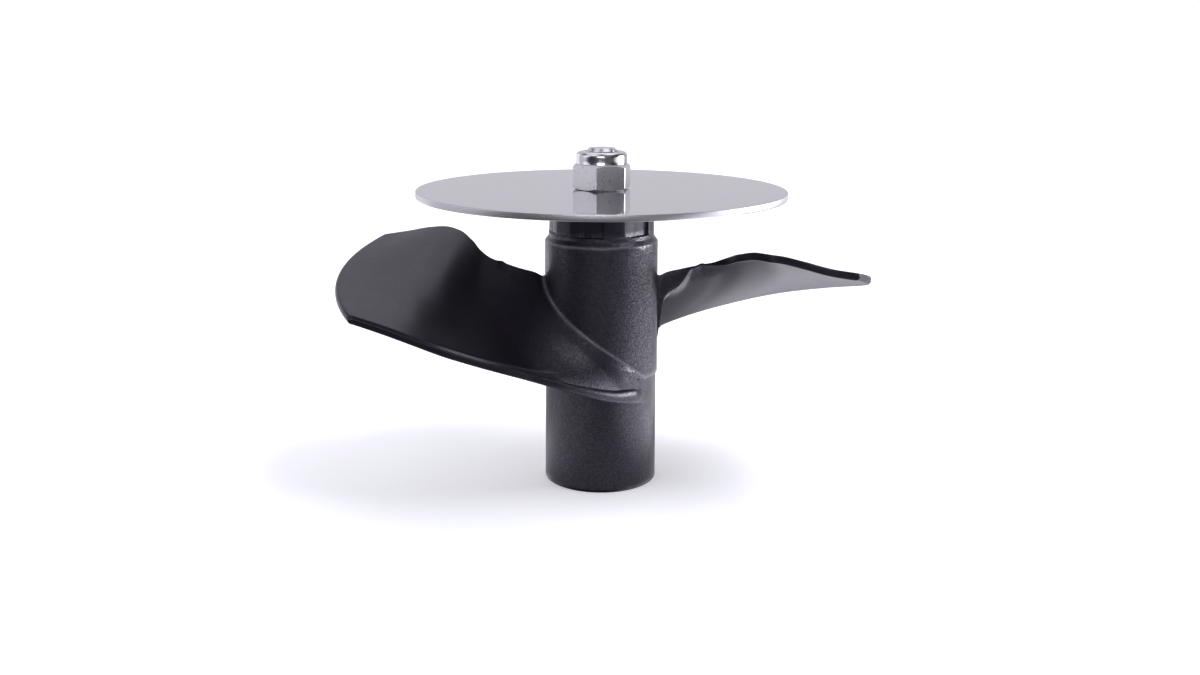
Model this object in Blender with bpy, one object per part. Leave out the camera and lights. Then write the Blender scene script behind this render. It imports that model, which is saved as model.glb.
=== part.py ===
"""Two-bladed aerator propeller with a steel splash disc, held by a lock nut on a threaded bolt.

Metres, +Z up. The origin is the centre of the hub's lower rim, on the axis of rotation.
Azimuths are in degrees, measured from the front (-Y) towards +X. One blade lies on -X and the
other is the same blade turned by half a turn.
"""

import math

import bmesh
import bpy
import numpy as np

MM = 0.001
CLEARANCE = 0.3

# Hub: radii and heights in millimetres
NECK_TOP = 70.9
NECK_TOP_RADIUS = 12.5
NECK_BASE_RADIUS = 12.8
PANEL_RADIUS = 11.9
PLINTH_HEIGHT = 62.7
PLINTH_SLOPE = 0.3
SHOULDER_HEIGHT = 61.5
BARREL_TOP = 60.4
BARREL_TOP_RADIUS = 13.72
BARREL_BASE = 27.7
BARREL_BASE_RADIUS = 14.0
SLEEVE_TOP_RADIUS = 13.65
SLEEVE_BASE_RADIUS = 13.9
RIM_CHAMFER = 0.5
SOCKET_RADIUS = 10.7
SOCKET_ROOF = 39.0
HEAD_POCKET_ROOF = 44.6

# Six lugs stand round the neck, each with a sloping flank on its right and a steep one on its left
LUG_COUNT = 6
LUG_START = 2.6
LUG_SPAN = 22.9
SLOPING_FLANK = 14.5
STEEP_FLANK = 1.5

# Blade: radius, trailing azimuth and height, leading azimuth, leading upper and lower height
BLADE_STATIONS = (
    (12.3, -88.0, 50.6, 54.0, 26.8, 20.6),
    (13.75, -88.0, 51.2, 45.0, 28.3, 21.8),
    (16.3, -88.6, 52.5, 18.0, 28.2, 23.5),
    (19.5, -89.5, 53.3, 0.0, 29.2, 25.4),
    (23.2, -92.0, 54.3, -12.5, 30.8, 27.7),
    (27.3, -95.1, 55.4, -21.6, 32.3, 29.8),
    (29.8, -98.5, 56.6, -26.6, 33.4, 31.2),
    (33.5, -106.0, 58.5, -32.5, 35.1, 33.0),
    (39.5, -113.7, 60.1, -41.3, 37.6, 35.6),
    (45.0, -117.4, 60.3, -48.9, 40.0, 37.9),
    (51.0, -117.8, 59.6, -56.8, 42.4, 40.4),
    (57.0, -116.8, 58.3, -63.6, 44.5, 42.5),
    (62.8, -114.0, 57.2, -69.1, 46.2, 44.3),
)
BLADE_RINGS = (12.3, 13.0, 13.75, 14.5, 15.4, 16.3, 17.8, 19.5, 21.3, 23.2, 25.3, 27.3, 28.6,
               29.8, 31.5, 33.5, 36.5, 39.5, 42.2, 45.0, 48.0, 51.0, 54.0, 57.0, 60.0, 62.8)
BLADE_CHORD_STEPS = 12
TRAILING_THICKNESS = 1.8
MIDDLE_THICKNESS = 2.1

# The tip is an arc about a point inboard of it, in plan, outboard and behind the hub's axis
TIP_ARC_OUTBOARD = 20.2
TIP_ARC_BEHIND = 1.8
TIP_ARC_RADIUS = 44.7
TIP_BLEND_START = 45.0

# Under the root a gusset ends flush with the trailing edge: radius and thickness there
GUSSET_STATIONS = (
    (12.3, 19.0),
    (13.9, 16.0),
    (14.5, 12.4),
    (15.4, 6.8),
    (16.8, 5.4),
    (19.0, 4.4),
    (20.8, 2.6),
    (22.0, 1.8),
    (62.8, 1.8),
)
GUSSET_REACH = 0.3

# Plain fillet under the rest of the root
FILLET_RADIUS = 3.0

# Splash disc: 3 1/2 inch across
DISC_RADIUS = 44.45
DISC_BASE = 71.2
DISC_TOP = 72.7
DISC_EDGE_BREAK = 0.2

# Lock nut for a 5/16 inch bolt
BOLT_RADIUS = 3.97
HEX_ACROSS_FLATS = 12.7
HEX_TURN = -11.4
HEX_FACE_INSET = 0.15
NUT_BASE = DISC_TOP + CLEARANCE
NUT_HEX_TOP = 78.8
NUT_COLLAR_RADIUS = 6.25
COLLAR_OVERLAP = 1.0
NUT_COLLAR_TOP = 81.7
NUT_COLLAR_ROUNDING = 1.1
NUT_LIP_RADIUS = 5.0
NUT_GROOVE_RADIUS = 5.5
NUT_GROOVE_BASE = 79.0
NUT_GROOVE_TOP = 80.9

# Bolt: 1 1/2 inch long, its head in the pocket over the socket
BOLT_TOP = 82.5
BOLT_TIP_CHAMFER = 0.7
BOLT_HEAD_HEIGHT = 5.2

ROUND_SEGMENTS = 48
DISC_SEGMENTS = 96

PLASTIC = ("moulded_black", (0.035, 0.034, 0.037, 1.0), 0.45, 0.0)
DISC_STEEL = ("disc_steel", (0.62, 0.62, 0.64, 1.0), 0.22, 1.0)
NUT_STEEL = ("fastener_steel", (0.66, 0.65, 0.66, 1.0), 0.3, 1.0)
NYLON = ("nylon_insert", (0.72, 0.72, 0.7, 1.0), 0.5, 0.0)


def clear_scene():
    """Empty the file that the script runs from."""
    for old in list(bpy.data.objects):
        bpy.data.objects.remove(old, do_unlink=True)


def material(spec):
    """A Principled material from a name, a colour, a roughness and a metallic value."""
    name, colour, roughness, metallic = spec
    made = bpy.data.materials.get(name) or bpy.data.materials.new(name)
    made.use_nodes = True
    shader = made.node_tree.nodes["Principled BSDF"]
    shader.inputs["Base Color"].default_value = colour
    shader.inputs["Roughness"].default_value = roughness
    shader.inputs["Metallic"].default_value = metallic
    return made


def place(radius, azimuth, height):
    """A point in metres from a radius, an azimuth from the front and a height in millimetres."""
    turn = math.radians(azimuth)
    return (radius * math.sin(turn) * MM, -radius * math.cos(turn) * MM, height * MM)


def lofted(name, rings, spec, ends):
    """Skin a list of closed rings. The ends are joined to each other, flat, or strips of quads."""
    bm = bmesh.new()
    rows = [[bm.verts.new(point) for point in ring] for ring in rings]
    count = len(rows[0])
    pairs = list(zip(rows, rows[1:]))
    if ends == "joined":
        pairs.append((rows[-1], rows[0]))
    for lower, upper in pairs:
        for i in range(count):
            j = (i + 1) % count
            bm.faces.new((lower[i], lower[j], upper[j], upper[i]))
    if ends == "flat":
        bm.faces.new(rows[0])
        bm.faces.new(rows[-1])
    if ends == "strips":
        for row in (rows[0], rows[-1]):
            for i in range(count // 2 - 1):
                bm.faces.new((row[i], row[i + 1], row[count - 2 - i], row[count - 1 - i]))
    return finished(name, bm, spec)


def finished(name, bm, spec):
    """Turn the faces outwards and make the object with its material."""
    bmesh.ops.recalc_face_normals(bm, faces=bm.faces)
    mesh = bpy.data.meshes.new(name)
    bm.to_mesh(mesh)
    bm.free()
    mesh.materials.append(material(spec))
    mesh.shade_smooth()
    mesh.set_sharp_from_angle(angle=math.radians(35))
    made = bpy.data.objects.new(name, mesh)
    bpy.context.scene.collection.objects.link(made)
    return made


def turned(name, profile, spec, ends="joined", segments=ROUND_SEGMENTS):
    """A turned ring from a closed outline of radii and heights, or a solid with flat ends."""
    azimuths = [360.0 * i / segments for i in range(segments)]
    rings = [[place(radius, azimuth, height) for azimuth in azimuths]
             for radius, height in profile]
    return lofted(name, rings, spec, ends)


def hexagon(name, flat, base, top, spec):
    """A hexagonal prism from half its width across flats."""
    corner = flat / math.cos(math.radians(30))
    rings = [[place(corner, HEX_TURN + 60 * i, height) for i in range(6)]
             for height in (base, top)]
    return lofted(name, rings, spec, "flat")


def chamfered_hexagon(name, base, top):
    """A hexagon of the nut's size, with its corners turned off at both ends."""
    flat = HEX_ACROSS_FLATS / 2
    corner = flat / math.cos(math.radians(30))
    made = hexagon(name, flat, base, top, NUT_STEEL)
    face = flat - HEX_FACE_INSET
    wide = corner + HEX_FACE_INSET
    drop = (wide - face) * math.tan(math.radians(30))
    profile = [(face, base), (wide, base + drop), (wide, top - drop), (face, top)]
    return combine(made, turned(name + "_corners", profile, NUT_STEEL, "flat"), "INTERSECT")


def guide(made):
    """Keep a shape that only cuts or joins another out of the model."""
    made.hide_render = True
    made.display_type = "WIRE"
    return made


def combine(made, other, operation):
    """Cut, join or intersect one shape with a guide shape."""
    modifier = made.modifiers.new(other.name, "BOOLEAN")
    modifier.operation = operation
    modifier.solver = "EXACT"
    modifier.object = guide(other)
    return made


def neck_azimuths():
    """Azimuths round the hub that follow the lugs, their flanks and the panels between them."""
    azimuths = []
    pitch = 360.0 / LUG_COUNT
    panel = pitch - LUG_SPAN - SLOPING_FLANK - STEEP_FLANK
    for lug in range(LUG_COUNT):
        start = LUG_START + pitch * lug
        azimuths += [start + LUG_SPAN * i / 4 for i in range(5)]
        azimuths += [start + LUG_SPAN + SLOPING_FLANK + panel * i / 4 for i in range(5)]
    return azimuths


def on_lug(azimuth):
    """Whether an azimuth lies on one of the neck's lugs."""
    return (azimuth - LUG_START) % (360.0 / LUG_COUNT) <= LUG_SPAN + 0.001


def hub():
    """The hub as one closed loft: outside upwards, down through the bolt hole and the socket."""
    bolt_hole = BOLT_RADIUS + CLEARANCE
    levels = (
        (SLEEVE_BASE_RADIUS - RIM_CHAMFER, SLEEVE_BASE_RADIUS - RIM_CHAMFER, 0.0),
        (SLEEVE_BASE_RADIUS, SLEEVE_BASE_RADIUS, RIM_CHAMFER),
        (SLEEVE_TOP_RADIUS, SLEEVE_TOP_RADIUS, BARREL_BASE),
        (BARREL_BASE_RADIUS, BARREL_BASE_RADIUS, BARREL_BASE),
        (BARREL_TOP_RADIUS, BARREL_TOP_RADIUS, BARREL_TOP),
        (NECK_BASE_RADIUS, NECK_BASE_RADIUS, SHOULDER_HEIGHT),
        (NECK_BASE_RADIUS, NECK_BASE_RADIUS, PLINTH_HEIGHT - PLINTH_SLOPE),
        (NECK_BASE_RADIUS, PANEL_RADIUS, PLINTH_HEIGHT),
        (NECK_TOP_RADIUS, PANEL_RADIUS, NECK_TOP),
        (bolt_hole, bolt_hole, NECK_TOP),
        (bolt_hole, bolt_hole, SOCKET_ROOF),
        (SOCKET_RADIUS, SOCKET_RADIUS, SOCKET_ROOF),
        (SOCKET_RADIUS, SOCKET_RADIUS, 0.0),
    )
    azimuths = neck_azimuths()
    rings = [[place(lug if on_lug(azimuth) else panel, azimuth, height) for azimuth in azimuths]
             for lug, panel, height in levels]
    return lofted("propeller", rings, PLASTIC, "joined")


def smooth(x, xs, ys):
    """Read a smooth curve through the stations, with no overshoot between them."""
    xs = np.asarray(xs, float)
    ys = np.asarray(ys, float)
    steps = np.diff(xs)
    slopes = np.diff(ys) / steps
    tangents = np.concatenate(([slopes[0]], np.zeros(len(xs) - 2), [slopes[-1]]))
    for i in range(1, len(xs) - 1):
        before, after = slopes[i - 1], slopes[i]
        if before * after > 0:
            tangents[i] = 2 * before * after / (before + after)
    i = int(np.clip(np.searchsorted(xs, x) - 1, 0, len(steps) - 1))
    t = (x - xs[i]) / steps[i]
    rise = ys[i + 1] - ys[i]
    curve = t * t * (3 - 2 * t)
    ease_in = t * (1 - t) ** 2 * tangents[i] * steps[i]
    ease_out = t * t * (t - 1) * tangents[i + 1] * steps[i]
    return float(ys[i] + rise * curve + ease_in + ease_out)


def tip_radius(azimuth):
    """Radius of the tip's arc at an azimuth."""
    turn = math.radians(azimuth)
    along = -math.sin(turn) * TIP_ARC_OUTBOARD - math.cos(turn) * TIP_ARC_BEHIND
    offset = TIP_ARC_OUTBOARD ** 2 + TIP_ARC_BEHIND ** 2 - TIP_ARC_RADIUS ** 2
    return along + math.sqrt(along * along - offset)


def root_fillet(radius):
    """How far the underside drops at a radius, to run tangent into the hub."""
    reach = np.clip((radius - BARREL_TOP_RADIUS) / FILLET_RADIUS, 0.0, 1.0)
    return FILLET_RADIUS * (1 - math.sqrt(1 - (1 - reach) ** 2))


def gusset(radius, s):
    """Extra thickness under the root at a share of the chord, fading out from the trailing edge."""
    extra = smooth(radius, *zip(*GUSSET_STATIONS)) - TRAILING_THICKNESS
    fade = max(0.0, 1 - s / GUSSET_REACH)
    return extra * fade * fade * (3 - 2 * fade)


def blade_section(station):
    """One closed blade section: the upper side from trailing to leading edge, then back below."""
    columns = list(zip(*BLADE_STATIONS))
    values = [smooth(station, columns[0], column) for column in columns[1:]]
    trailing, trailing_top, leading, leading_top, leading_base = values
    last = columns[0][-1]
    outboard = max(0.0, station - TIP_BLEND_START) / (last - TIP_BLEND_START)
    upper = []
    lower = []
    for i in range(BLADE_CHORD_STEPS + 1):
        s = i / BLADE_CHORD_STEPS
        azimuth = trailing + (leading - trailing) * s
        radius = station + outboard * outboard * (tip_radius(azimuth) - last)
        top = trailing_top + (leading_top - trailing_top) * s
        edge = TRAILING_THICKNESS + (leading_top - leading_base - TRAILING_THICKNESS) * s
        belly = 4 * s * (1 - s) * (MIDDLE_THICKNESS - TRAILING_THICKNESS)
        root = max(gusset(station, s), root_fillet(station) * (1 - s))
        upper.append(place(radius, azimuth, top))
        lower.append(place(radius, azimuth, top - edge - belly - root))
    return upper + lower[::-1]


def blade(name, turn):
    """A blade lofted through its sections, turned about the hub's axis."""
    made = lofted(name, [blade_section(radius) for radius in BLADE_RINGS], PLASTIC, "strips")
    made.rotation_euler.z = math.radians(turn)
    return made


def propeller():
    """The hub and its two blades are one moulding, with a pocket that keeps the bolt from turning."""
    made = hub()
    flat = HEX_ACROSS_FLATS / 2 + CLEARANCE
    pocket = hexagon("head_pocket", flat, SOCKET_ROOF - 1.0, HEAD_POCKET_ROOF, PLASTIC)
    combine(made, pocket, "DIFFERENCE")
    combine(made, blade("blade_guide_left", 0), "UNION")
    combine(made, blade("blade_guide_right", 180), "UNION")
    return made


def splash_disc():
    """A thin steel disc with a clearance hole for the bolt."""
    hole = BOLT_RADIUS + CLEARANCE
    edge = DISC_RADIUS - DISC_EDGE_BREAK
    profile = [
        (hole, DISC_BASE),
        (edge, DISC_BASE),
        (DISC_RADIUS, DISC_BASE + DISC_EDGE_BREAK),
        (DISC_RADIUS, DISC_TOP - DISC_EDGE_BREAK),
        (edge, DISC_TOP),
        (hole, DISC_TOP),
    ]
    return turned("splash_disc", profile, DISC_STEEL, segments=DISC_SEGMENTS)


def lock_nut():
    """A hexagon with chamfered corners, a round collar and a groove for the nylon ring."""
    made = chamfered_hexagon("lock_nut", NUT_BASE, NUT_HEX_TOP)
    bore = BOLT_RADIUS + CLEARANCE
    rounding = [
        (NUT_COLLAR_RADIUS - NUT_COLLAR_ROUNDING * (1 - math.cos(math.radians(angle))),
         NUT_COLLAR_TOP - NUT_COLLAR_ROUNDING * (1 - math.sin(math.radians(angle))))
        for angle in (0, 30, 60, 90)
    ]
    profile = [
        (bore, NUT_HEX_TOP - COLLAR_OVERLAP),
        (NUT_COLLAR_RADIUS, NUT_HEX_TOP - COLLAR_OVERLAP),
        *rounding,
        (NUT_LIP_RADIUS, NUT_COLLAR_TOP),
        (NUT_LIP_RADIUS, NUT_GROOVE_TOP),
        (NUT_GROOVE_RADIUS, NUT_GROOVE_TOP),
        (NUT_GROOVE_RADIUS, NUT_GROOVE_BASE),
        (bore, NUT_GROOVE_BASE),
    ]
    combine(made, turned("nut_collar", profile, NUT_STEEL), "UNION")
    cutter = [(bore, NUT_BASE - 1.0), (bore, NUT_GROOVE_BASE + 0.5)]
    return combine(made, turned("nut_bore", cutter, NUT_STEEL, "flat"), "DIFFERENCE")


def nylon_ring():
    """The locking ring in the nut's groove."""
    inner = BOLT_RADIUS + CLEARANCE
    outer = NUT_GROOVE_RADIUS - CLEARANCE
    base = NUT_GROOVE_BASE + CLEARANCE
    top = NUT_GROOVE_TOP - CLEARANCE
    return turned("nylon_ring", [(inner, base), (outer, base), (outer, top), (inner, top)], NYLON)


def bolt():
    """A hexagon-head bolt that stands up through the hub, the disc and the nut."""
    head_top = HEAD_POCKET_ROOF - CLEARANCE
    head_base = head_top - BOLT_HEAD_HEIGHT
    made = chamfered_hexagon("bolt", head_base, head_top)
    profile = [
        (BOLT_RADIUS, head_base + BOLT_HEAD_HEIGHT / 2),
        (BOLT_RADIUS, BOLT_TOP - BOLT_TIP_CHAMFER),
        (BOLT_RADIUS - BOLT_TIP_CHAMFER, BOLT_TOP),
    ]
    return combine(made, turned("bolt_shank", profile, NUT_STEEL, "flat"), "UNION")


def build():
    """Make every piece of the assembly."""
    clear_scene()
    propeller()
    splash_disc()
    lock_nut()
    nylon_ring()
    bolt()


build()
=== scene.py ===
# %% [markdown]
# # Two-bladed aerator propeller with its splash disc
# The real assembly is one black plastic moulding, a bright steel disc on top of it, and a lock nut
# with a nylon ring on the end of a bolt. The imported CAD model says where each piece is. Here every
# piece gets its fine shape and its finish, in metres and in the same place as its CAD solid.

# %% Load the frame
import math

import bmesh
import bpy
import numpy as np
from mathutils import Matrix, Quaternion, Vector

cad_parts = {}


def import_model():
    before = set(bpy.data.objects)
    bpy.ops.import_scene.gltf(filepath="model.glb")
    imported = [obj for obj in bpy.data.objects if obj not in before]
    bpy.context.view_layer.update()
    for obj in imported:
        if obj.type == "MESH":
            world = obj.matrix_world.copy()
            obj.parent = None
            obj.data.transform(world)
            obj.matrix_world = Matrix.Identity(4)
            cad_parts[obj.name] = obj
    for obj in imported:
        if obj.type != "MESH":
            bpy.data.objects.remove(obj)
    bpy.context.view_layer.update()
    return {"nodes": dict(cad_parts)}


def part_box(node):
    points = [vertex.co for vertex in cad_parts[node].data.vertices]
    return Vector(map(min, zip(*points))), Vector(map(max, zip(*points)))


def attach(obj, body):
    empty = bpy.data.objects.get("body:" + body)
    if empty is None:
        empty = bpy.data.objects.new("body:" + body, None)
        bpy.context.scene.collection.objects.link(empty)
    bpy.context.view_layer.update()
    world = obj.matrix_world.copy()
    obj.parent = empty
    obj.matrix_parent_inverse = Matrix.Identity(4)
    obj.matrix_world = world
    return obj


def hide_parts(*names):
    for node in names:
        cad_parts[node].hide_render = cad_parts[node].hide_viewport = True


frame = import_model()
MM = 0.001
print("frame:", sorted(frame["nodes"]))


def heights(node):
    """Lowest and highest point of a CAD node, in millimetres."""
    low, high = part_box(node)
    return low.z / MM, high.z / MM


DISC_BASE, DISC_TOP = heights("splash_disc")
NUT_COLLAR_TOP = heights("lock_nut")[1]
BOLT_HEAD_BASE, BOLT_TOP = heights("bolt")
DISC_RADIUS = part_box("splash_disc")[1].x / MM
print(f"disc {DISC_BASE:.1f} to {DISC_TOP:.1f} mm, nut to {NUT_COLLAR_TOP:.1f}, bolt to {BOLT_TOP:.1f}")

# %% [markdown]
# ## Skins from rings of points
# Hub, blades, disc, nut and bolt all follow rules: a radius for each azimuth and height. Rings of
# such points are skinned with four-sided faces in one go, which is quicker and more exact than
# pushing faces about by hand. Azimuth 0 is the front (-Y) and grows towards +X.

# %% Points and objects
SHARP_ANGLE = 32.0


def place(radius, azimuth, height):
    """Points in metres from radii, azimuths in degrees and heights, in millimetres."""
    radius, azimuth, height = np.broadcast_arrays(radius, np.radians(azimuth), height)
    return np.stack((radius * np.sin(azimuth), -radius * np.cos(azimuth), height), -1) * MM


def added(name, data):
    """A new object in the scene."""
    made = bpy.data.objects.new(name, data)
    bpy.context.scene.collection.objects.link(made)
    return made


def shaded(mesh, sharp=SHARP_ANGLE):
    """Smooth shading between edges that are sharper than an angle."""
    mesh.shade_smooth()
    mesh.set_sharp_from_angle(angle=math.radians(sharp))


def face_outwards(mesh, close=False):
    """Turn a mesh's faces outwards, after its open rims are closed if that is asked for."""
    bm = bmesh.new()
    bm.from_mesh(mesh)
    if close:
        bmesh.ops.holes_fill(bm, edges=[edge for edge in bm.edges if edge.is_boundary], sides=0)
    bmesh.ops.recalc_face_normals(bm, faces=bm.faces)
    bm.to_mesh(mesh)
    bm.free()


def new_piece(name, points, faces, sharp=SHARP_ANGLE):
    """A mesh object with its faces turned outwards and smooth shading between sharp edges."""
    mesh = bpy.data.meshes.new(name)
    mesh.from_pydata([tuple(point) for point in points], [], faces)
    face_outwards(mesh)
    shaded(mesh, sharp)
    return added(name, mesh)


# %% Skins
def skin(name, rings, ends="joined", sharp=SHARP_ANGLE, closed=True):
    """Skin rings of points. The last ring meets the first, or each end is a fan or strips of quads."""
    rings = np.asarray(rings, float)
    rows, columns = rings.shape[:2]
    points = list(rings.reshape(-1, 3))
    faces = []
    for row in range(rows if ends == "joined" else rows - 1):
        low = row * columns
        high = (row + 1) % rows * columns
        for i in range(columns if closed else columns - 1):
            j = (i + 1) % columns
            faces.append((low + i, low + j, high + j, high + i))
    if ends == "fan":
        for row, first in ((0, 0), (rows - 1, (rows - 1) * columns)):
            points.append(rings[row].mean(0))
            centre = len(points) - 1
            faces += [(first + i, first + (i + 1) % columns, centre) for i in range(columns)]
    if ends == "strips":
        for first in (0, (rows - 1) * columns):
            for i in range(columns // 2 - 1):
                j = columns - 1 - i
                faces.append((first + i, first + i + 1, first + j - 1, first + j))
    return new_piece(name, points, faces, sharp)


def arc(centre_radius, centre_height, radius, start, stop, steps):
    """Radii and heights along an arc in a profile, from one angle to another."""
    angles = np.radians(np.linspace(start, stop, steps + 1))
    return [(centre_radius + radius * math.cos(angle), centre_height + radius * math.sin(angle))
            for angle in angles]


def turned(name, profile, columns=128, sharp=SHARP_ANGLE):
    """A ring-shaped piece turned about the axis from a closed profile of radii and heights."""
    azimuths = np.arange(columns) * 360.0 / columns
    return skin(name, [place(radius, azimuths, height) for radius, height in profile], sharp=sharp)


# %% Smooth curves
def smooth(x, xs, ys):
    """A smooth curve through stations, with no overshoot between them."""
    steps = np.diff(xs)
    slopes = np.diff(ys) / steps
    before, after = slopes[:-1], slopes[1:]
    same_way = before * after > 0
    inner = np.where(same_way, 2 * before * after / np.where(same_way, before + after, 1), 0)
    tangents = np.concatenate(([slopes[0]], inner, [slopes[-1]]))
    i = np.clip(np.searchsorted(xs, x) - 1, 0, len(steps) - 1)
    t = (x - xs[i]) / steps[i]
    curve = ys[i] + (ys[i + 1] - ys[i]) * t * t * (3 - 2 * t)
    return curve + steps[i] * (t * (1 - t) ** 2 * tangents[i] + t * t * (t - 1) * tangents[i + 1])


def read(stations, radius):
    """Each column of a table of stations at a radius, by smooth curves."""
    radii, *columns = [np.array(column, float) for column in zip(*stations)]
    return [smooth(radius, radii, column) for column in columns]


def ease(t):
    """A smooth step from 0 to 1."""
    t = np.clip(t, 0, 1)
    return t * t * (3 - 2 * t)


# %% [markdown]
# ## Hub
# The hub is a sleeve below, a slightly wider barrel above, and a neck with six lugs that carries the
# disc. Barrel and sleeve meet at the mould's parting line. It follows the root of each blade, runs
# level from the blade's nose to the next blade and climbs there in a small upright step. A lathe
# profile can't do that, so each ring of the hub may change its height with the azimuth.

# %% Hub sizes
NECK_TOP = DISC_BASE
NECK_TOP_RADIUS = 12.5
NECK_BASE_RADIUS = 12.8
PANEL_RADIUS = 11.9
PLINTH_TOP = 62.7
SHOULDER_HEIGHT = 61.5
BARREL_TOP = 60.4
BARREL_TOP_RADIUS = 13.72
BARREL_BASE_RADIUS = 14.0
SLEEVE_TOP_RADIUS = 13.65
SLEEVE_BASE_RADIUS = 13.9
LEDGE_HEIGHT = 27.7
RIM_ROUNDING = 0.5
SOCKET_RADIUS = 10.7
SOCKET_ROOF = 39.0
POCKET_ROOF = 44.6
BOLT_RADIUS = 3.97
HEX_ACROSS_FLATS = 12.7
HEX_TURN = -11.4
POCKET_CLEARANCE = 0.3
POCKET_ROUNDING = 0.4

LUG_COUNT = 6
LUG_PITCH = 360.0 / LUG_COUNT
LUG_START = 2.6
# Azimuth from a lug's left edge, and how far the surface there is from panel to lug
LUG_PROFILE = (
    (-2.1, 0.0), (-1.5, 0.1), (-0.3, 0.93), (0.3, 1.0), (22.4, 1.0), (22.9, 0.985),
    (23.5, 0.94), (36.9, 0.05), (37.5, 0.01), (38.3, 0.0), (57.9, 0.0),
)
LUG_FIRST = LUG_PROFILE[0][0]

# Root line of a blade on the hub: azimuth and height, from the trailing edge to the nose
ROOT_TRAILING = (-88.0, 51.2)
ROOT_LEADING = (45.0, 28.3)
ROOT_SLOPE = (ROOT_LEADING[1] - ROOT_TRAILING[1]) / (ROOT_LEADING[0] - ROOT_TRAILING[0])
PARTING_BELOW_ROOT = 1.0


# %% Hub surface
def sleeve_radius(height):
    """The sleeve tapers upwards, and keeps its taper under the blades."""
    return SLEEVE_BASE_RADIUS + (SLEEVE_TOP_RADIUS - SLEEVE_BASE_RADIUS) * height / LEDGE_HEIGHT


def barrel_radius(height):
    """The barrel tapers upwards too."""
    share = (height - LEDGE_HEIGHT) / (BARREL_TOP - LEDGE_HEIGHT)
    return BARREL_BASE_RADIUS + (BARREL_TOP_RADIUS - BARREL_BASE_RADIUS) * share


def parting_height(azimuth):
    """Height of the parting line: inside the blade's root, then level along the ledge."""
    turn = (azimuth - ROOT_TRAILING[0]) % 180.0 + ROOT_TRAILING[0]
    root = ROOT_TRAILING[1] + ROOT_SLOPE * (turn - ROOT_TRAILING[0]) - PARTING_BELOW_ROOT
    return np.where(turn <= ROOT_LEADING[0], np.maximum(root, LEDGE_HEIGHT), LEDGE_HEIGHT)


def neck_radius(azimuth, height):
    """Radius of the neck, with its lugs and the panels between them."""
    offset = (azimuth - LUG_START - LUG_FIRST) % LUG_PITCH + LUG_FIRST
    lug = np.interp(offset, *zip(*LUG_PROFILE))
    share = (height - PLINTH_TOP) / (NECK_TOP - PLINTH_TOP)
    outer = NECK_BASE_RADIUS + (NECK_TOP_RADIUS - NECK_BASE_RADIUS) * share
    return PANEL_RADIUS + lug * (outer - PANEL_RADIUS)


# %% Hexagons
def hexagon_radius(azimuth, flat, rounding):
    """Radius of a hexagon with rounded corners, from half its width across flats."""
    turn = np.abs((azimuth - HEX_TURN + 30.0) % 60.0 - 30.0)
    corner = (flat - rounding) / math.cos(math.radians(30))
    reach = math.degrees(math.atan2(rounding / 2, corner + rounding * math.cos(math.radians(30))))
    straight = flat / np.cos(np.radians(30.0 - turn))
    sideways = np.sin(np.radians(np.minimum(turn, reach)))
    round_part = corner * np.cos(np.radians(turn)) + np.sqrt(rounding ** 2 - (corner * sideways) ** 2)
    return np.where(turn < reach, round_part, straight)


def hexagon_azimuths(spread=1.3):
    """Azimuths that follow a hexagon's faces and crowd together round its corners."""
    corners = HEX_TURN + 60.0 * np.arange(6)
    near = np.array((-1.0, -0.5, 0.0, 0.5, 1.0)) * spread
    along = np.linspace(0, 60, 19)[1:-1]
    return np.unique(np.concatenate([corner + steps for corner in corners
                                     for steps in (near, along)]))


# %% Hub rings
def hub_azimuths(even_step=1.5, least_gap=0.35):
    """Even azimuths, with more at the lugs' edges, the pocket's corners and the parting steps."""
    even = np.arange(0, 360, even_step)
    lugs = [LUG_START + LUG_PITCH * lug + offset
            for lug in range(LUG_COUNT) for offset, _ in LUG_PROFILE[:-1]]
    corners = HEX_TURN + 60.0 * np.arange(6)
    steps = [ROOT_TRAILING[0] + side + turn for turn in (0, 180) for side in (-0.2, 0.2)]
    exact = np.mod(np.concatenate((lugs, corners, steps)), 360)
    kept = [a for a in even if np.abs((exact - a + 180) % 360 - 180).min() > least_gap]
    return np.sort(np.concatenate((exact, kept)))


def sleeve_rings(parting):
    """Radii and heights up the sleeve, from its rounded rim to the parting line."""
    foot = sleeve_radius(RIM_ROUNDING) - RIM_ROUNDING
    rings = arc(foot, RIM_ROUNDING, RIM_ROUNDING, -90, 0, 4)
    for share in np.linspace(0, 1, 25)[1:]:
        height = RIM_ROUNDING + (parting - 0.05 - RIM_ROUNDING) * share
        rings.append((sleeve_radius(height), height))
    return rings


def barrel_rings(parting):
    """Up the barrel and its shoulder. Rings 0.03 to 0.15 mm from an edge break it."""
    rings = [(barrel_radius(parting) - 0.12, parting), (barrel_radius(parting) - 0.03, parting + 0.05)]
    for share in np.linspace(0, 1, 27):
        height = parting + 0.15 + (BARREL_TOP - 0.1 - parting - 0.15) * share
        rings.append((barrel_radius(height), height))
    rings += [(BARREL_TOP_RADIUS - 0.04, BARREL_TOP), (BARREL_TOP_RADIUS - 0.12, BARREL_TOP + 0.09)]
    rings += [(NECK_BASE_RADIUS + 0.12, SHOULDER_HEIGHT - 0.1), (NECK_BASE_RADIUS + 0.03, SHOULDER_HEIGHT)]
    return rings + [(NECK_BASE_RADIUS, SHOULDER_HEIGHT + 0.15)]


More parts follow.
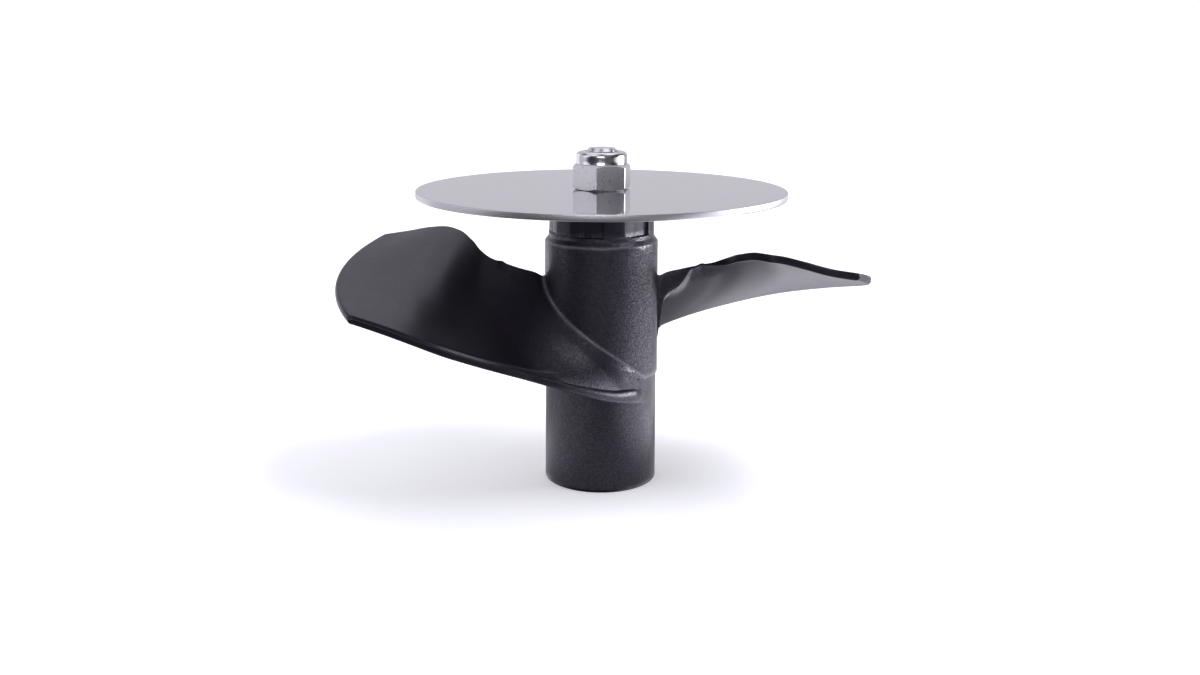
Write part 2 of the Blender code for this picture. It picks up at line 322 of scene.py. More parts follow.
def neck_rings(azimuths):
    """Up the plinth and the lugs to the seat of the disc."""
    start = neck_radius(azimuths, PLINTH_TOP)
    rings = [(NECK_BASE_RADIUS, PLINTH_TOP - 0.5), (NECK_BASE_RADIUS - 0.04, PLINTH_TOP - 0.35)]
    rings += [(np.minimum(start + 0.25, NECK_BASE_RADIUS - 0.02), PLINTH_TOP - 0.2)]
    rings += [(np.minimum(start + 0.05, NECK_BASE_RADIUS), PLINTH_TOP - 0.05)]
    for height in np.linspace(PLINTH_TOP + 0.15, NECK_TOP - 0.2, 8):
        rings.append((neck_radius(azimuths, height), height))
    return rings + [(neck_radius(azimuths, NECK_TOP) - 0.2, NECK_TOP)]


def socket_rings(azimuths):
    """Down the bolt's hole, the pocket of its head and the shaft's socket."""
    hole = BOLT_RADIUS + POCKET_CLEARANCE
    pocket = hexagon_radius(azimuths, HEX_ACROSS_FLATS / 2 + POCKET_CLEARANCE, POCKET_ROUNDING)
    rings = [(hole, NECK_TOP), (hole, POCKET_ROOF), (pocket - 0.2, POCKET_ROOF)]
    rings += [(pocket, POCKET_ROOF - 0.2), (pocket, SOCKET_ROOF + 0.15), (pocket + 0.15, SOCKET_ROOF)]
    rings += [(SOCKET_RADIUS - 0.4, SOCKET_ROOF), (SOCKET_RADIUS - 0.12, SOCKET_ROOF - 0.12)]
    rings += [(SOCKET_RADIUS, SOCKET_ROOF - 0.4)]
    rings += [(SOCKET_RADIUS, height) for height in np.linspace(SOCKET_ROOF - 4.0, 4.0, 9)]
    return rings + [(SOCKET_RADIUS, 0.5), (SOCKET_RADIUS + 0.5, 0.0)]


# %% Hub mesh
def hub():
    """The hub as one closed skin: up its outside, then down through the bolt hole and the socket."""
    azimuths = hub_azimuths()
    parting = parting_height(azimuths)
    profile = sleeve_rings(parting) + barrel_rings(parting)
    profile += neck_rings(azimuths) + socket_rings(azimuths)
    return skin("hub", [place(radius, azimuths, height) for radius, height in profile])


print("hub:", len(hub_azimuths()), "columns")

# %% [markdown]
# ## Blades
# A blade is a twisted plate. Each section lies on a cylinder about the axis and runs from a flat
# trailing edge, high at the back, down to the leading edge at the front, where a small step and a
# rounded bead follow the edge. No bent box has such edges, so the blade is skinned over sections
# that are read from smooth curves.

# %% Blade stations
# Radius, trailing azimuth and height, leading azimuth, leading upper and lower height
BLADE_STATIONS = (
    (12.3, -88.0, 50.6, 54.0, 26.8, 20.6),
    (13.75, -88.0, 51.2, 45.0, 28.3, 21.8),
    (16.3, -88.6, 52.5, 18.0, 28.2, 23.5),
    (19.5, -89.5, 53.3, 0.0, 29.2, 25.4),
    (23.2, -92.0, 54.3, -12.5, 30.8, 27.7),
    (27.3, -95.1, 55.4, -21.6, 32.3, 29.8),
    (29.8, -98.5, 56.6, -26.6, 33.4, 31.2),
    (33.5, -106.0, 58.5, -32.5, 35.1, 33.0),
    (39.5, -113.7, 60.1, -41.3, 37.6, 35.6),
    (45.0, -117.4, 60.3, -48.9, 40.0, 37.9),
    (51.0, -117.8, 59.6, -56.8, 42.4, 40.4),
    (57.0, -116.8, 58.3, -63.6, 44.5, 42.5),
    (62.8, -114.0, 57.2, -69.1, 46.2, 44.3),
)
# Radius, drop of the step, run of the step, width of the ledge and rounding of the bead
BEAD_STATIONS = (
    (12.3, 3.1, 0.8, 0.1, 0.5),
    (13.9, 3.1, 0.8, 0.1, 0.5),
    (14.8, 2.2, 4.0, 0.1, 0.5),
    (16.3, 1.5, 6.0, 0.15, 0.5),
    (19.5, 1.15, 5.5, 0.2, 0.5),
    (23.2, 1.0, 3.4, 0.2, 0.5),
    (27.3, 0.65, 1.4, 0.2, 0.5),
    (31.5, 0.62, 0.7, 0.2, 0.22),
    (62.8, 0.6, 0.5, 0.22, 0.16),
)
# Radius and height of the upright trailing face: it thins out to a feather edge past the gusset
TRAILING_STATIONS = (
    (12.3, 1.8), (20.0, 1.8), (22.3, 0.6), (25.5, 0.5), (28.5, 1.2), (31.5, 1.8), (62.8, 1.8),
)
# Under the root a gusset ends flush with the trailing edge: radius and thickness there
GUSSET_STATIONS = (
    (12.3, 19.0), (13.9, 16.0), (14.5, 12.4), (15.4, 6.8), (16.8, 5.4),
    (19.0, 4.4), (20.8, 2.6), (22.0, 1.8), (62.8, 1.8),
)

# %% Blade sizes
TRAILING_THICKNESS = 1.8
MIDDLE_THICKNESS = 2.1
EDGE_ROUNDING = 0.22
FEATHER_REACH = 4.0
GUSSET_REACH = 0.3
LOWER_FILLET = 3.0
UPPER_FILLET = 1.1
FILLET_SINK = 0.06
NOSE_FILLET = 1.0
NIB_RADIUS = 24.4
NIB_HEIGHT = 0.35
NIB_WIDTH = 0.7
NIB_REACH = 3.0
TIP_ARC_OUTBOARD = 20.2
TIP_ARC_BEHIND = 1.8
TIP_ARC_RADIUS = 44.7
TIP_BLEND_START = 45.0
TIP_RADIUS = BLADE_STATIONS[-1][0]
TIP_ROUNDING = 0.85
THIRDS = np.array((0.33, 0.67, 1.0))


def tip_reach(azimuth):
    """Radius of the tip's arc at an azimuth."""
    turn = np.radians(azimuth)
    along = -np.sin(turn) * TIP_ARC_OUTBOARD - np.cos(turn) * TIP_ARC_BEHIND
    offset = TIP_ARC_OUTBOARD ** 2 + TIP_ARC_BEHIND ** 2 - TIP_ARC_RADIUS ** 2
    return along + np.sqrt(along * along - offset)


def root_curve(radius, start, size):
    """Rise of a rounded corner between a surface and an upright wall at the start radius."""
    q = np.clip((start + size - radius) / size, 0, 1)
    return size * (1 - np.sqrt(1 - q * q))


# %% Blade section
class Section:
    """A blade's section at one radius, with s from 0 at the trailing to 1 at the leading edge."""

    def __init__(self, station):
        self.station = station
        (self.trailing, self.trailing_top, self.leading, self.leading_top,
         self.leading_base) = read(BLADE_STATIONS, station)
        self.drop, self.run, self.ledge, self.nose = read(BEAD_STATIONS, station)
        self.length = station * math.radians(self.leading - self.trailing)
        self.edge = self.leading_top - self.leading_base

    def top(self, s):
        """Height of the upper side, with the small nib on the trailing edge."""
        nib = NIB_HEIGHT * math.exp(-((self.station - NIB_RADIUS) / NIB_WIDTH) ** 2)
        straight = self.trailing_top + (self.leading_top - self.trailing_top) * s
        return straight + nib * ease(1 - s * self.length / NIB_REACH)

    def crest(self, s):
        """The upper side with its fillet against the barrel."""
        top = self.top(s)
        return top + root_curve(self.station, barrel_radius(top) - FILLET_SINK, UPPER_FILLET)

    def under(self, s):
        """Height of the lower side, with its belly, its gusset or fillet, and the feather edge."""
        gusset = read(GUSSET_STATIONS, self.station)[0] - TRAILING_THICKNESS
        fillet = root_curve(self.station, SLEEVE_TOP_RADIUS, LOWER_FILLET) * (1 - s)
        thick = TRAILING_THICKNESS + (self.edge - TRAILING_THICKNESS) * s
        thinned = TRAILING_THICKNESS - read(TRAILING_STATIONS, self.station)[0]
        feather = thinned * ease(1 - s * self.length / FEATHER_REACH)
        belly = 4 * s * (1 - s) * (MIDDLE_THICKNESS - TRAILING_THICKNESS)
        return self.top(s) - thick - belly - np.maximum(gusset * ease(1 - s / GUSSET_REACH), fillet) + feather

    def leading_side(self):
        """The step down from the upper side, the bead, the edge's upright face and its lower corner."""
        t = np.linspace(0, 1, 15)[1:]
        step_s = 1 - (self.ledge + self.nose + self.run * (1 - t)) / self.length
        crest = self.crest(step_s)
        rolled = ease(t) + (t ** 2 - ease(t)) * ease((self.run - 0.5) / 2)
        step_h = crest - (crest[-1] - self.leading_top + self.drop) * rolled
        turn = np.radians(np.linspace(0, 90, 8))
        forward = root_curve(self.station, sleeve_radius(self.leading_base), NOSE_FILLET)
        nose_s = 1 - (self.nose * (1 - np.sin(turn)) - forward * np.sin(turn) ** 2) / self.length
        nose_h = self.leading_top - self.drop - self.nose * (1 - np.cos(turn))
        low = self.leading_base + EDGE_ROUNDING
        face_h = nose_h[-1] + (low - nose_h[-1]) * THIRDS
        turn = np.radians((30.0, 60.0, 90.0))
        corner_s = nose_s[-1] - EDGE_ROUNDING * (1 - np.cos(turn)) / self.length
        corner_h = low - EDGE_ROUNDING * np.sin(turn)
        shares = np.concatenate((step_s, nose_s, np.full(3, nose_s[-1]), corner_s))
        return shares, np.concatenate((step_h, nose_h, face_h, corner_h))

    def outline(self):
        """Shares and heights right round the section, from the middle of its trailing face."""
        s_last = 1 - (self.ledge + self.nose + self.run) / self.length
        upper_s = np.linspace(EDGE_ROUNDING / self.length, s_last, 48)
        upper_h = self.crest(upper_s)
        front_s, front_h = self.leading_side()
        lower_s = np.concatenate((np.linspace(front_s[-1], s_last, 13)[1:], upper_s[-2::-1]))
        lower_h = self.under(lower_s)
        rounding = min(EDGE_ROUNDING, (upper_h[0] - lower_h[-1]) * 0.45)
        foot = np.radians((60.0, 30.0, 0.0))
        foot_h = lower_h[-1] + rounding * (1 - np.sin(foot))
        head = np.radians((30.0, 60.0))
        head_h = upper_h[0] - rounding
        wall_h = foot_h[-1] + (head_h - foot_h[-1]) * THIRDS
        foot_s, head_s = [EDGE_ROUNDING * (1 - np.cos(turn)) / self.length for turn in (foot, head)]
        s = np.concatenate(([0.0] * 2, head_s, upper_s, front_s, lower_s, foot_s, [0.0]))
        return s, np.concatenate((wall_h[1:], head_h + rounding * np.sin(head), upper_h, front_h,
                                  lower_h, foot_h, wall_h[:1]))

    def ring(self, inset=0.0, outset=0.0):
        """Points round the section, which the tip's rounding draws in by an inset as it goes out."""
        s, h = self.outline()
        if inset:
            middle = self.top(s) - self.edge / 2
            h = middle + (h - middle) * (1 - 2 * inset / self.edge)
            s = 0.5 + (s - 0.5) * (1 - 2 * inset / self.length)
        azimuth = self.trailing + (self.leading - self.trailing) * s
        outboard = max(0.0, self.station - TIP_BLEND_START) / (TIP_RADIUS - TIP_BLEND_START)
        radius = self.station + outset + outboard ** 2 * (tip_reach(azimuth) - TIP_RADIUS)
        return place(radius, azimuth, h)


# %% Blade mesh
def blade(name, turn):
    """A blade skinned over its sections, with a rounded tip, turned about the axis."""
    near = np.concatenate(((12.6, 13.4), np.linspace(13.68, 14.6, 12), np.linspace(14.75, 17, 10)))
    last = TIP_RADIUS - TIP_ROUNDING
    stations = np.concatenate((near, np.linspace(17.3, last, 84)))
    rings = [Section(station).ring() for station in stations]
    for angle in np.radians((15.0, 30.0, 45.0, 60.0, 75.0, 90.0)):
        inset, outset = TIP_ROUNDING * (1 - math.cos(angle)), TIP_ROUNDING * math.sin(angle)
        rings.append(Section(last).ring(inset, outset))
    cosine, sine = math.cos(math.radians(turn)), math.sin(math.radians(turn))
    spin = np.array(((cosine, -sine, 0), (sine, cosine, 0), (0, 0, 1)))
    return skin(name, np.array(rings) @ spin.T, "strips")


print("a section has", len(Section(TIP_RADIUS / 2).ring()), "points")

# %% [markdown]
# ## Lip and ridge
# Near the hub the leading edge swells into a rounded lip that catches the light. It is rounded
# square to the edge, so it is swept along the edge as a shape of its own. The mould also leaves a
# thin ridge on the barrel along each root.

# %% Leading lip
# Radius, and how far the lip stands proud of the leading edge
LIP_STATIONS = (
    (12.6, 0.2), (13.75, 0.4), (14.8, 0.9), (16.3, 1.1), (19.5, 1.0), (23.2, 0.75), (27.3, 0.35),
    (31.5, 0.05),
)
LIP_ROOT = 0.3
LIP_FULLNESS = 0.85
LIP_DEPTH = 1.5


def swept(name, path, profiles):
    """Closed profiles of (outward, height) points swept along a path of plan points."""
    along = np.gradient(path, axis=0)
    along /= np.linalg.norm(along, axis=1)[:, None]
    outward = np.stack((-along[:, 1], along[:, 0]), -1)
    rings = [[(*(spot + side * out), height) for out, height in profile]
             for spot, side, profile in zip(path, outward, profiles)]
    return skin(name, np.array(rings) * MM, "fan")


def leading_lip(name, turn):
    """The rounded lip on the leading edge, from inside the hub to where it fades out."""
    stations = np.linspace(LIP_STATIONS[0][0], LIP_STATIONS[-1][0], 80)
    leading, leading_top, bases = read(BLADE_STATIONS, stations)[2:]
    tops = leading_top - read(BEAD_STATIONS, stations)[0]
    fronts = read(LIP_STATIONS, stations)[0]
    azimuths = np.radians(leading + turn)
    path = np.stack((stations * np.sin(azimuths), -stations * np.cos(azimuths)), -1)
    corner = EDGE_ROUNDING
    around = np.radians(np.linspace(0, 90, 13))
    profiles = []
    for low, top, front in zip(bases, tops, fronts):
        deep = front + LIP_ROOT
        tall = LIP_FULLNESS * (top - low - corner)
        back = front - deep - LIP_DEPTH
        profile = [(back, top - 1.0), (back, low + 0.3), (front - corner, low)]
        profile += [(front - corner * 0.3, low + corner * 0.3), (front, low + corner)]
        profile += zip(front - deep * (1 - np.cos(around)), top - tall * (1 - np.sin(around)))
        profiles.append(profile)
    return swept(name, path, profiles)


# %% Root ridge
RIDGE_RADIUS = 0.36
RIDGE_RISE = 0.55
RIDGE_THINNING = 0.7


def root_ridge(name, turn):
    """The mould's thin ridge on the barrel along a blade's root."""
    azimuths = np.linspace(ROOT_TRAILING[0] + 3, ROOT_LEADING[0] - 5, 90)
    share = (azimuths - ROOT_TRAILING[0]) / (ROOT_LEADING[0] - ROOT_TRAILING[0])
    tops = ROOT_TRAILING[1] + (ROOT_LEADING[1] - ROOT_TRAILING[1]) * share + RIDGE_RISE
    sizes = RIDGE_RADIUS * (1 - RIDGE_THINNING * ease((share - 0.3) / 0.6))
    rings = []
    for azimuth, height, size in zip(azimuths + turn, tops, sizes):
        circle = arc(barrel_radius(height) - 0.1, height, size, 0, 324, 9)
        rings.append([place(radius, azimuth, level) for radius, level in circle])
    return skin(name, rings, "fan", sharp=60)


# %% Propeller
def joined(name, first, others):
    """The Boolean union of closed shapes as one plain mesh, with the shapes themselves removed."""
    for other in others:
        modifier = first.modifiers.new(other.name, "BOOLEAN")
        modifier.operation = "UNION"
        modifier.solver = "EXACT"
        modifier.object = other
    mesh = evaluated_mesh(first)
    mesh.name = name
    for old in (first, *others):
        bpy.data.objects.remove(old)
    shaded(mesh)
    return added(name, mesh)


def evaluated_mesh(piece):
    """A plain mesh of what an object's modifiers make."""
    return bpy.data.meshes.new_from_object(
        piece.evaluated_get(bpy.context.evaluated_depsgraph_get()))


parts = [make(name, turn) for name, turn in (("left", 0), ("right", 180))
         for make in (blade, leading_lip, root_ridge)]
propeller = joined("propeller_moulding", hub(), parts)
print("propeller:", len(propeller.data.polygons), "faces")

# %% [markdown]
# ## Splash disc
# A disc punched from thin stainless sheet. Its faces keep the mill's bright finish, and its edge is
# dull where the punch tore it, with a bright burr line below. A turned profile is all it needs.

# %% Disc
EDGE_BREAK = 0.16
DISC_HOLE = BOLT_RADIUS + 0.15
DISC_RINGS = (9.0, 20.0, 32.0)


def splash_disc():
    """The disc, from the hole's edge out along its underside and back over the top."""
    outer = DISC_RADIUS - EDGE_BREAK
    across = (*DISC_RINGS, outer - 0.4)
    profile = [(DISC_HOLE, DISC_BASE)]
    profile += [(radius, DISC_BASE) for radius in across]
    profile += arc(outer, DISC_BASE + EDGE_BREAK, EDGE_BREAK, -90, 0, 4)
    profile += arc(outer, DISC_TOP - EDGE_BREAK, EDGE_BREAK, 0, 90, 4)
    profile += [(radius, DISC_TOP) for radius in (*reversed(across), DISC_HOLE)]
    return turned("splash_disc_plate", profile, columns=288, sharp=50)


disc = splash_disc()
print("disc:", len(disc.data.polygons), "faces")

# %% [markdown]
# ## Lock nut and nylon ring
# A nut is a hexagon whose corners are turned off by a shallow cone at both ends. At each azimuth the
# cone meets the hexagon at its own height, so rings that follow that height give the scalloped
# faces exactly, with no Boolean. The collar above is rolled inwards over the nylon ring.

# %% Nut sizes
NUT_BASE = DISC_TOP
NUT_HEX_TOP = 78.8
HEX_FACE_INSET = 0.2
HEX_CORNER_ROUNDING = 0.3
COLLAR_RADIUS = 6.1
COLLAR_ROUNDING = 1.1
MOUTH_RADIUS = 4.75
MOUTH_ROUNDING = 0.3
RING_SEAT_RADIUS = 5.4
RING_TOP = 80.9
RING_BASE = 79.3
RING_CLEARANCE = 0.02
RING_ROUNDING = 0.25
BORE_RADIUS = BOLT_RADIUS + 0.02


def hexagon_rings(base, top, flat=HEX_ACROSS_FLATS / 2, soft=0.1):
    """Rings of a hexagon with its corners turned off at both ends, and the azimuths they use."""
    azimuths = hexagon_azimuths()
    face = flat - HEX_FACE_INSET
    outline = hexagon_radius(azimuths, flat, HEX_CORNER_ROUNDING)
    drop = (outline - face) * math.tan(math.radians(30))
    inner = (outline - soft - face) * math.tan(math.radians(30))
    pairs = (
        (face, base), (outline - soft, base + inner), (outline - 0.02, base + drop),
        (outline, base + drop + soft), (outline, top - drop - soft), (outline - 0.02, top - drop),
        (outline - soft, top - inner), (face, top),
    )
    return [place(radius, azimuths, height) for radius, height in pairs], azimuths


# %% Nut and ring
def lock_nut():
    """The hexagon, the rolled collar above it, the seat of the ring and the bore."""
    rings, azimuths = hexagon_rings(NUT_BASE, NUT_HEX_TOP)
    centre = COLLAR_RADIUS - COLLAR_ROUNDING
    profile = [(COLLAR_RADIUS + 0.05, NUT_HEX_TOP + 0.02), (COLLAR_RADIUS, NUT_HEX_TOP + 0.12)]
    profile += [(COLLAR_RADIUS, NUT_HEX_TOP + 1.0)]
    profile += arc(centre, NUT_COLLAR_TOP - COLLAR_ROUNDING, COLLAR_ROUNDING, 0, 90, 10)
    profile += arc(MOUTH_RADIUS, NUT_COLLAR_TOP - MOUTH_ROUNDING, MOUTH_ROUNDING, 90, 180, 4)
    profile += [(MOUTH_RADIUS - MOUTH_ROUNDING, RING_TOP), (RING_SEAT_RADIUS, RING_TOP)]
    profile += [(RING_SEAT_RADIUS, RING_BASE), (BORE_RADIUS, RING_BASE)]
    profile += [(BORE_RADIUS, NUT_BASE + 0.3), (BOLT_RADIUS + 0.3, NUT_BASE)]
    rings += [place(radius, azimuths, height) for radius, height in profile]
    return skin("lock_nut_body", rings, sharp=28)


def nylon_ring():
    """The ring that grips the thread, with a rounded mouth."""
    inner = BOLT_RADIUS + 0.03
    outer = RING_SEAT_RADIUS - RING_CLEARANCE
    top = RING_TOP - RING_CLEARANCE
    profile = [(inner, RING_BASE + RING_CLEARANCE), (outer, RING_BASE + RING_CLEARANCE), (outer, top)]
    profile += arc(inner + RING_ROUNDING, top - RING_ROUNDING, RING_ROUNDING, 90, 180, 4)
    return turned("nylon_insert_ring", profile, columns=96)


nut = lock_nut()
ring = nylon_ring()
print("nut:", len(nut.data.polygons), "faces, ring:", len(ring.data.polygons))

# %% [markdown]
# ## Node trees as sums
# The bolt's thread and every finish are node trees. A small class wraps a socket, and each operator
# on it adds the Math node that it stands for, so a tree reads like a formula.


# %% Sockets and nodes
class Socket:
    """An output socket with arithmetic on it."""

    def __init__(self, nodes, socket):
        self.nodes = nodes
        self.socket = socket

    def maths(self, operation, *values):
        """A Math node whose first value is this socket."""
        return self.nodes.node("ShaderNodeMath", {"operation": operation}, dict(enumerate((self, *values))))

    def __add__(self, other):
        return self.maths("ADD", other)

    def __mul__(self, other):
        return self.maths("MULTIPLY", other)

    def __sub__(self, other):
        return self.maths("SUBTRACT", other)

    def __rsub__(self, other):
        return self.maths("MULTIPLY", -1.0).maths("ADD", other)

    def __truediv__(self, other):
        return self.maths("DIVIDE", other)

    def __pow__(self, other):
        return self.maths("POWER", other)

    __radd__ = __add__
    __rmul__ = __mul__

    def ramp(self, low, high, start=0.0, stop=1.0):
        """From start to stop as this goes from low to high, with eased ends."""
        return self.nodes.node("ShaderNodeMapRange", {"interpolation_type": "SMOOTHSTEP"},
                               {0: self, 1: low, 2: high, 3: start, 4: stop})


class Nodes:
    """A node tree that is built call by call."""

    def __init__(self, tree):
        self.tree = tree

    def feed(self, socket, value):
        """Link a Socket to an input socket, or set a plain value on it."""
        if isinstance(value, Socket):
            self.tree.links.new(value.socket, socket)
        else:
            socket.default_value = value

    def node(self, kind, settings=None, values=None, output=0):
        """A node with its settings, then the values or links of its sockets, and one output."""
        made = self.tree.nodes.new(kind)
        for key, value in (settings or {}).items():
            setattr(made, key, value)
        for key, value in (values or {}).items():
            self.feed(made.inputs[key], value)
        return Socket(self, made.outputs[output])


# %% [markdown]
# ## Bolt
# The thread follows a rule, so Geometry Nodes make it: a grid with azimuth along one side and height
# along the other is rolled up, and its radius rises and falls with the pitch as it goes round. The
# tip's chamfer is the smaller of two radii. The hexagon head below is skinned as the nut was.

# %% Thread tree
THREAD_BASE = 60.0
THREAD = {
    "Radius": BOLT_RADIUS * MM, "Depth": 0.75 * MM, "Pitch": 1.411 * MM, "Base": THREAD_BASE * MM,
    "Top": BOLT_TOP * MM, "Chamfer": 0.85 * MM, "Columns": 97, "Rows": 260,
}


class Geometry(Nodes):
    """A Geometry Nodes tree with named inputs."""

    def __init__(self, name):
        super().__init__(bpy.data.node_groups.new(name, "GeometryNodeTree"))
        self.tree.interface.new_socket("Geometry", in_out="OUTPUT", socket_type="NodeSocketGeometry")
        self.inputs = self.tree.nodes.new("NodeGroupInput")
        self.output = self.tree.nodes.new("NodeGroupOutput")

    def named(self, name, kind):
        """A named input of the tree."""
        self.tree.interface.new_socket(name, in_out="INPUT", socket_type="NodeSocket" + kind)
        return Socket(self, self.inputs.outputs[name])


def thread_tree():
    """The rolled-up grid whose radius follows the thread."""
    g = Geometry("bolt_thread")
    radius, depth, pitch, base, top, chamfer, columns, rows = [
        g.named(name, "Int" if isinstance(value, int) else "Float") for name, value in THREAD.items()]
    finish = g.named("Material", "Material")
    sheet = g.node("GeometryNodeMeshGrid", None, {
        "Size X": 1.0, "Size Y": 1.0, "Vertices X": columns, "Vertices Y": rows})
    spot = g.node("GeometryNodeInputPosition")
    across, along = [g.node("ShaderNodeSeparateXYZ", None, {0: spot}, i) for i in (0, 1)]
    turn = across + 0.5
    height = (along + 0.5) * (top - base) + base
    groove = (height / pitch - turn).maths("PINGPONG", 0.5) * 2.0 * depth
    cone = (radius - chamfer) + (top - height)
    thread = (radius - groove).maths("MINIMUM", cone)
    angle = turn * (2 * math.pi)
    rolled = g.node("ShaderNodeCombineXYZ", None, {
        0: thread * angle.maths("SINE"), 1: thread * (angle.maths("COSINE") * -1.0), 2: height})
    shaped = g.node("GeometryNodeSetPosition", None, {"Geometry": sheet, "Position": rolled})
    closed = g.node("GeometryNodeMergeByDistance", None, {"Geometry": shaped, "Distance": 1e-7})
    real = g.node("GeometryNodeRealizeInstances", None, {"Geometry": closed})
    made = g.node("GeometryNodeSetMaterial", None, {"Geometry": real, "Material": finish})
    g.feed(g.output.inputs[0], made)
    return g.tree


def grown(name, tree, values):
    """The plain mesh that a Geometry Nodes tree makes with these input values."""
    carrier = added(name, bpy.data.meshes.new(name))
    modifier = carrier.modifiers.new(name, "NODES")
    modifier.node_group = tree
    for item in tree.interface.items_tree:
        if item.in_out == "INPUT" and item.name in values:
            modifier[item.identifier] = values[item.name]
    mesh = evaluated_mesh(carrier)
    bpy.data.objects.remove(carrier)
    return mesh


# %% Bolt
SHANK_OVERLAP = 0.4
SHANK_END_RADIUS = 2.0


def bolt():
    """The threaded shank from the tree, closed at its ends, joined to a plain shank and a head."""
    mesh = grown("thread", thread_tree(), THREAD)
    face_outwards(mesh, close=True)
    rings, azimuths = hexagon_rings(BOLT_HEAD_BASE, POCKET_ROOF)
    shank_top = THREAD_BASE + SHANK_OVERLAP
    rings += [place(BOLT_RADIUS, azimuths, height) for height in (POCKET_ROOF, shank_top)]
    rings += [place(SHANK_END_RADIUS, azimuths, shank_top)]
    return joined("bolt_with_thread", skin("head", rings, "fan"), [added("thread", mesh)])


stud = bolt()
print("bolt:", len(stud.data.polygons), "faces")

# %% [markdown]
# ## Materials
# Every finish here is grown from noise and cells that are fixed to the object, so it needs no images
# and no unwrapping. A finish is a Principled shader, and what changes over the surface feeds only
# its colour, roughness, coat weight and bump.


# %% Finishes
class Finish(Nodes):
    """A material that is built call by call, with sizes given in millimetres."""

    def __init__(self, name):
        self.material = bpy.data.materials.new(name)
        self.material.use_nodes = True
        super().__init__(self.material.node_tree)
        self.shader = self.tree.nodes["Principled BSDF"]
        self.spot = self.node("ShaderNodeTexCoord", output="Object")
        self.x, self.y, self.z = [
            self.node("ShaderNodeSeparateXYZ", None, {0: self.spot}, i) * (1 / MM) for i in range(3)]
        self.radius = (self.x * self.x + self.y * self.y) ** 0.5

    def noise(self, size, detail=2.0, stretch=(1, 1, 1), roughness=0.5):
        """Noise whose grains are about the given size, stretched along the axes."""
        scale = [1 / (size * MM * k) for k in stretch]
        spot = self.node("ShaderNodeMapping", None, {"Vector": self.spot, "Scale": scale})
        return self.node("ShaderNodeTexNoise", None, {
            "Vector": spot, "Scale": 1.0, "Detail": detail, "Roughness": roughness})

    def cells(self, size):
        """A random number from 0 to 1 for each grain of about the given size."""
        cell = self.node("ShaderNodeTexVoronoi", None, {"Vector": self.spot, "Scale": 1 / (size * MM)},
                         "Color")
        return self.node("ShaderNodeSeparateColor", None, {0: cell})

    def mix(self, share, first, second):
        """A mix of two colours by a share from 0 to 1."""
        return self.node("ShaderNodeMix", {"data_type": "RGBA"}, {0: share, 6: first, 7: second}, 2)

    def bump(self, height, distance, strength=1.0):
        """A normal from a height that varies between 0 and 1, scaled to a distance."""
        values = {"Height": height, "Distance": distance * MM, "Strength": strength}
        return self.node("ShaderNodeBump", None, values)

    def set(self, **values):
        """Set or link sockets of the shader, and give back the material."""
        for key, value in values.items():
            self.feed(self.shader.inputs[key.replace("_", " ")], value)
        return self.material


# %% [markdown]
# ## Black moulded plastic
# The mould was spark-eroded round the hub, so the barrel and the blades' roots have a fine dull
# grain, and polished further out, where the blades are a smooth satin. One material does both: the
# distance from the axis and the height say how much grain a spot has. A clear coat that comes and
# goes with the grain gives each speck its own glint.
# Pale lines are painted along the root lines, the ledge and the shoulder's rim as highlights.

# %% Painted highlights along edges
# Width and strength of the painted highlights along the root seam and the shoulder's rim
SEAM_WIDTH = 0.42
SEAM_HIGHLIGHT = 0.7
RIM_WIDTH = 0.3
RIM_HIGHLIGHT = 0.6


def band(distance, width):
    """1 in the middle of a band, falling off like a bell on both sides."""
    return ((distance * (1 / width)) ** 2 * -1.0).maths("EXPONENT")


def painted_edge_highlights(f):
    """Painted highlights as pale lines on the root lines, the ledge and the shoulder's rim."""
    azimuth = f.x.maths("ARCTAN2", f.y * -1.0) * (180 / math.pi)
    turn = (azimuth - ROOT_TRAILING[0]).maths("FLOORED_MODULO", 180.0)
    line = (turn * ROOT_SLOPE + (ROOT_TRAILING[1] + RIDGE_RISE)).maths("MAXIMUM", LEDGE_HEIGHT + 0.3)
    seam = band(f.z - line, SEAM_WIDTH) * f.radius.ramp(14.3, 14.8, 1.0, 0.0)
    rim = band(f.z - BARREL_TOP, RIM_WIDTH) * f.radius.ramp(13.3, 13.5)
    return (seam * SEAM_HIGHLIGHT).maths("MAXIMUM", rim * RIM_HIGHLIGHT)


# %% Moulded plastic
DARK_PLASTIC = (0.004, 0.003, 0.007, 1)
PALE_PLASTIC = (0.0075, 0.006, 0.0115, 1)
DUSTY_PLASTIC = (0.024, 0.0205, 0.032, 1)
# Pale colour painted on as highlights along the root lines, the ledge and the shoulder's rim
PAINTED_HIGHLIGHT_PLASTIC = (0.2, 0.195, 0.22, 1)


